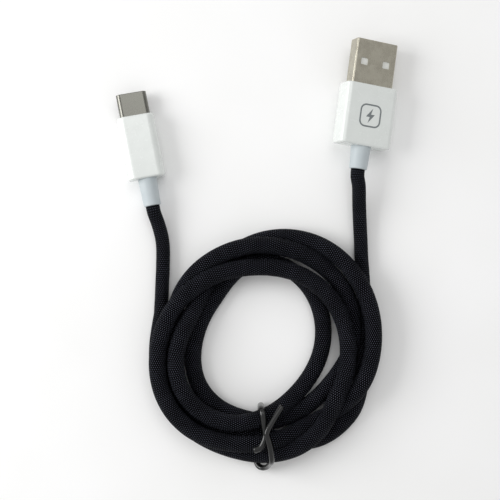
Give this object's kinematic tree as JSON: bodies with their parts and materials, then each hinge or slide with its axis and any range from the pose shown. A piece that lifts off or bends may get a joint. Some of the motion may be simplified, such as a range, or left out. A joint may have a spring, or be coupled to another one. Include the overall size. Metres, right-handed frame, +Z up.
{
  "type": "usb charging cable",
  "caption": "Coiled black braided charging cable with a white USB-A plug and a white USB-C plug on short free leads, the coil held by a black wire twist tie.",
  "frame": {"origin": "middle of the resting footprint of the two plugs and the tie, on the surface that the cable lies on", "axes": "+Y along the object's length, from the coil towards both plug tips; +Z up from the surface; +X to the right, from the USB-C plug to the USB-A plug"},
  "size_m": [0.0768, 0.1177, 0.0113],
  "materials": {
    "housing_plastic": "glossy moulded",
    "relief_plastic": "satin moulded",
    "shell_steel": "nickel plated",
    "inner_steel": "stamped",
    "insulator_white": "moulded",
    "insulator_black": "moulded",
    "contact_gold": "gold plated",
    "mould_natural": "moulded",
    "card_green": "solder mask",
    "resistor_ceramic": "fired",
    "wire_red": "extruded",
    "wire_white": "extruded",
    "wire_green": "extruded",
    "wire_black": "extruded",
    "cord_braid": "braided nylon",
    "tie_plastic": "extruded",
    "mark_ink": "printed"
  },
  "bodies": {
    "coil": {"cord_coil": "cord_braid", "cord_lead_usb_a": "cord_braid", "cord_lead_usb_c": "cord_braid", "twist_tie_coat": "tie_plastic", "twist_tie_core": "inner_steel"},
    "usb_a_plug": {"usb_a_shell": "shell_steel", "usb_a_insulator": "insulator_white", "usb_a_contact_vbus": "contact_gold", "usb_a_contact_data_minus": "contact_gold", "usb_a_contact_data_plus": "contact_gold", "usb_a_contact_ground": "contact_gold", "usb_a_wire_vbus": "wire_red", "usb_a_wire_data_minus": "wire_white", "usb_a_wire_data_plus": "wire_green", "usb_a_wire_ground": "wire_black", "usb_a_crimp_ring": "inner_steel", "usb_a_cable_end": "cord_braid", "usb_a_inner_mould": "mould_natural", "usb_a_housing": "housing_plastic", "usb_a_strain_relief": "relief_plastic"},
    "usb_c_plug": {"usb_c_shell": "shell_steel", "usb_c_insulator": "insulator_black", "usb_c_mid_plate": "inner_steel", "usb_c_contact_tails_upper": "contact_gold", "usb_c_contact_tails_lower": "contact_gold", "usb_c_emi_spring_upper": "inner_steel", "usb_c_emi_spring_lower": "inner_steel", "usb_c_paddle_card": "card_green", "usb_c_pull_up_resistor": "resistor_ceramic", "usb_c_rear_shield": "inner_steel", "usb_c_wire_vbus": "wire_red", "usb_c_wire_data_minus": "wire_white", "usb_c_wire_data_plus": "wire_green", "usb_c_wire_ground": "wire_black", "usb_c_crimp_ring": "inner_steel", "usb_c_cable_end": "cord_braid", "usb_c_inner_mould": "mould_natural", "usb_c_housing": "housing_plastic", "usb_c_strain_relief": "relief_plastic"},
    "latch_left": {"usb_c_latch_left": "inner_steel"},
    "latch_right": {"usb_c_latch_right": "inner_steel"},
    "contacts_upper": {"usb_c_contact_springs_upper": "contact_gold"},
    "contacts_lower": {"usb_c_contact_springs_lower": "contact_gold"}
  },
  "joints": [
    {"name": "usb_a_plug_swing", "type": "hinge", "parent": "coil", "child": "usb_a_plug", "pos_m": [0.028, 0.008, 0.003], "axis": [0, 0, 1], "range_deg": [-20, 20], "stiffness_Nm_per_rad": 0.003, "deforming": ["cord_lead_usb_a"]},
    {"name": "usb_c_plug_swing", "type": "hinge", "parent": "coil", "child": "usb_c_plug", "pos_m": [-0.0263, -0.0005, 0.003], "axis": [0, 0, 1], "range_deg": [-20, 20], "stiffness_Nm_per_rad": 0.003, "deforming": ["cord_lead_usb_c"]},
    {"name": "usb_c_latch_left_flex", "type": "hinge", "parent": "usb_c_plug", "child": "latch_left", "pos_m": [-0.03615, 0.03334, 0.00406], "axis": [0.1366, 0.0266, 0.9903], "range_deg": [0, 1.2], "stiffness_Nm_per_rad": 1.5},
    {"name": "usb_c_latch_right_flex", "type": "hinge", "parent": "usb_c_plug", "child": "latch_right", "pos_m": [-0.02934, 0.03466, 0.00308], "axis": [-0.1366, -0.0266, -0.9903], "range_deg": [0, 1.2], "stiffness_Nm_per_rad": 1.5},
    {"name": "usb_c_contacts_upper_flex", "type": "hinge", "parent": "usb_c_plug", "child": "contacts_upper", "pos_m": [-0.03344, 0.03799, 0.00414], "axis": [0.9721, 0.189, -0.1392], "range_deg": [0, 2.5], "stiffness_Nm_per_rad": 0.35},
    {"name": "usb_c_contacts_lower_flex", "type": "hinge", "parent": "usb_c_plug", "child": "contacts_lower", "pos_m": [-0.0336, 0.03796, 0.003], "axis": [-0.9721, -0.189, 0.1392], "range_deg": [0, 2.5], "stiffness_Nm_per_rad": 0.2}
  ]
}
